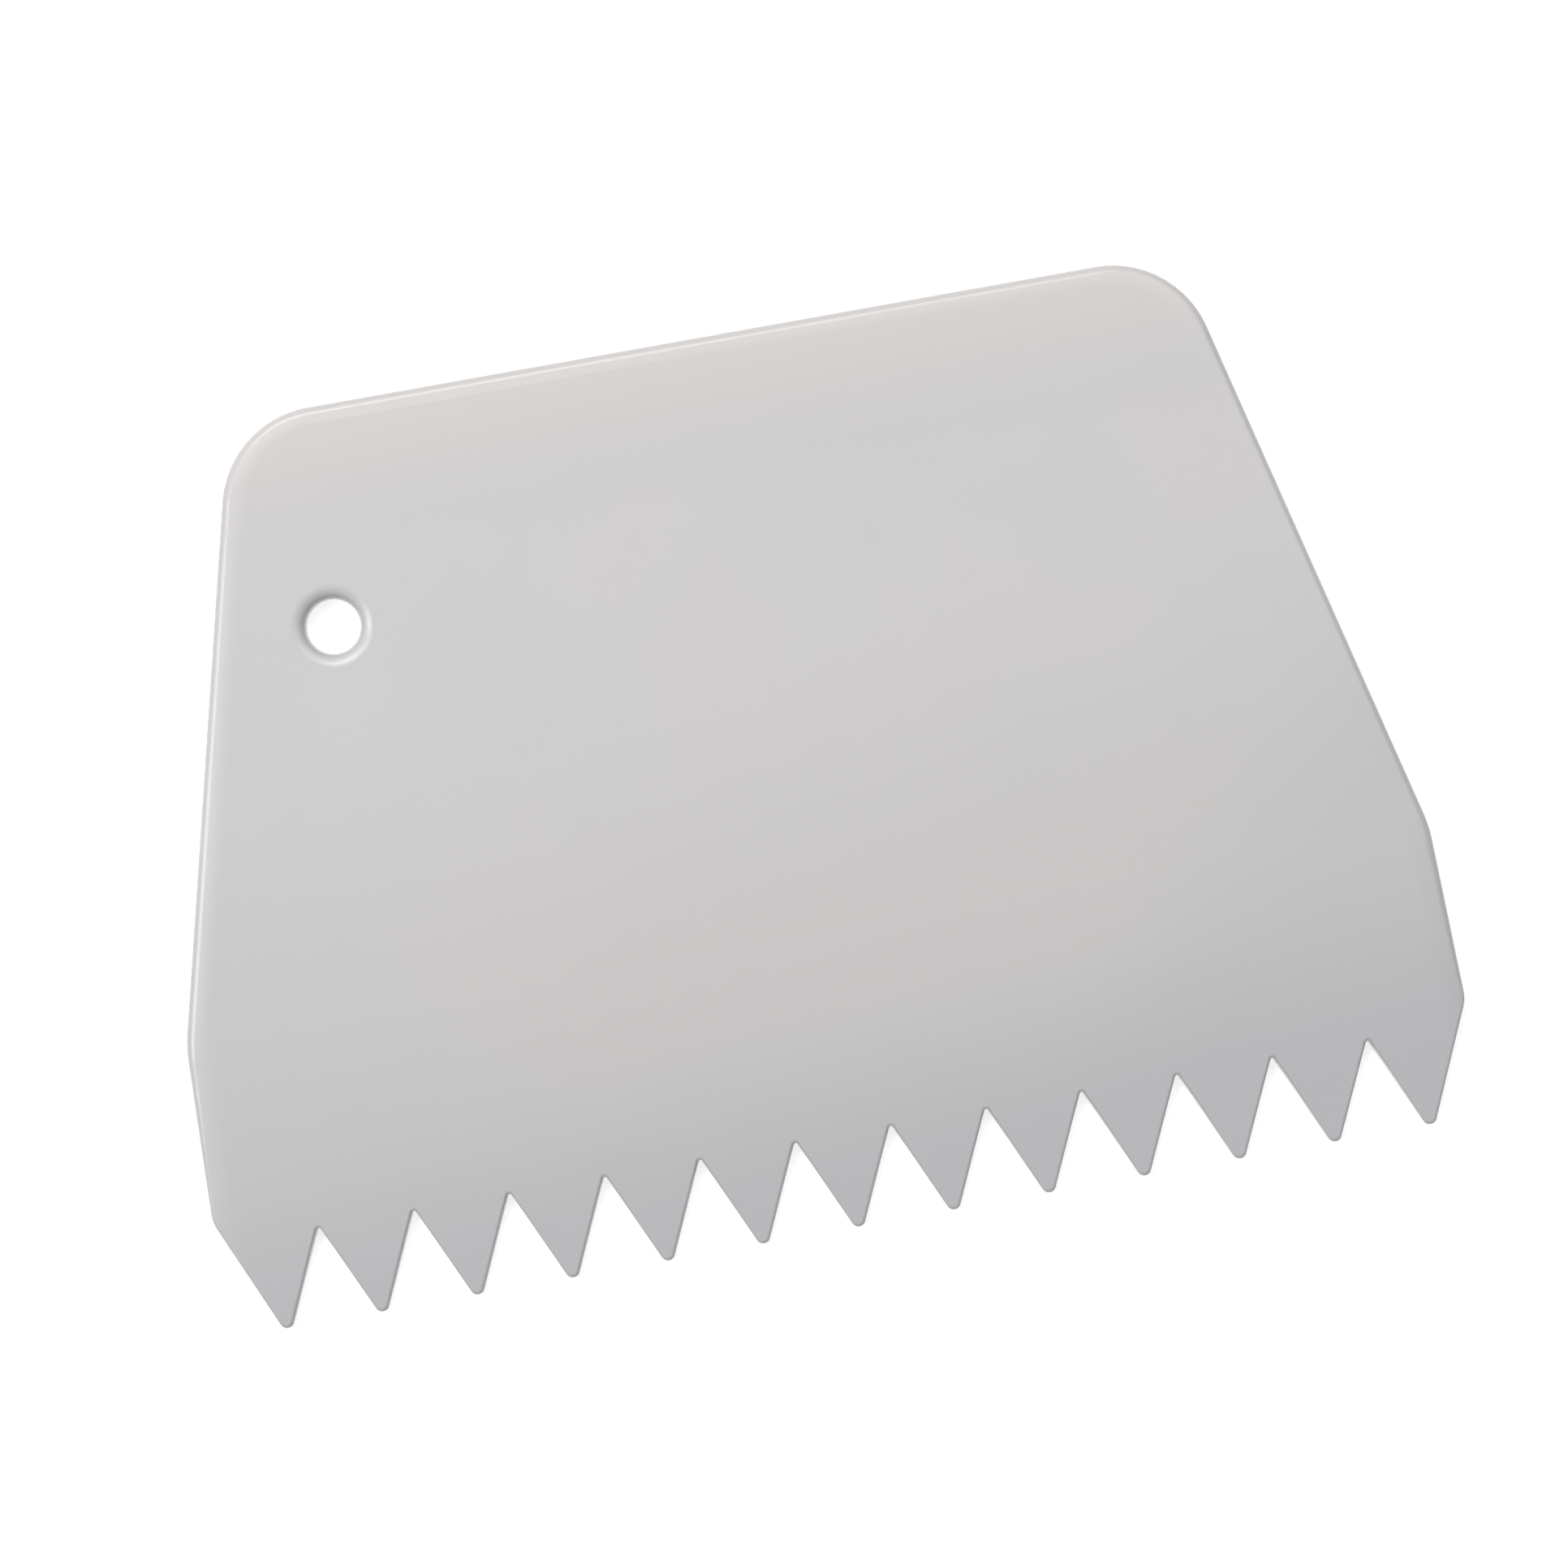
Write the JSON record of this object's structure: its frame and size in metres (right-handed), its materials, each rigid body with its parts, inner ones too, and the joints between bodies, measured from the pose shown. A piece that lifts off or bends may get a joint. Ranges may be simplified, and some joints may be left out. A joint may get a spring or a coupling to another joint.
{
  "type": "icing comb",
  "caption": "Flat trapezoid plate of white plastic with a row of pointed teeth along its wide edge, for combing and smoothing icing; a small hole near one corner hangs it up.",
  "frame": {"origin": "under the middle of the plate's bounding box, on the flat back face", "axes": "+X along the toothed edge with the hanging hole on the -X side, +Y from the teeth to the top edge, +Z out of the front face"},
  "size_m": [0.12, 0.0852, 0.003],
  "materials": {
    "white_plastic": "satin"
  },
  "bodies": {
    "root": {"comb_plate": "white_plastic"}
  },
  "joints": []
}
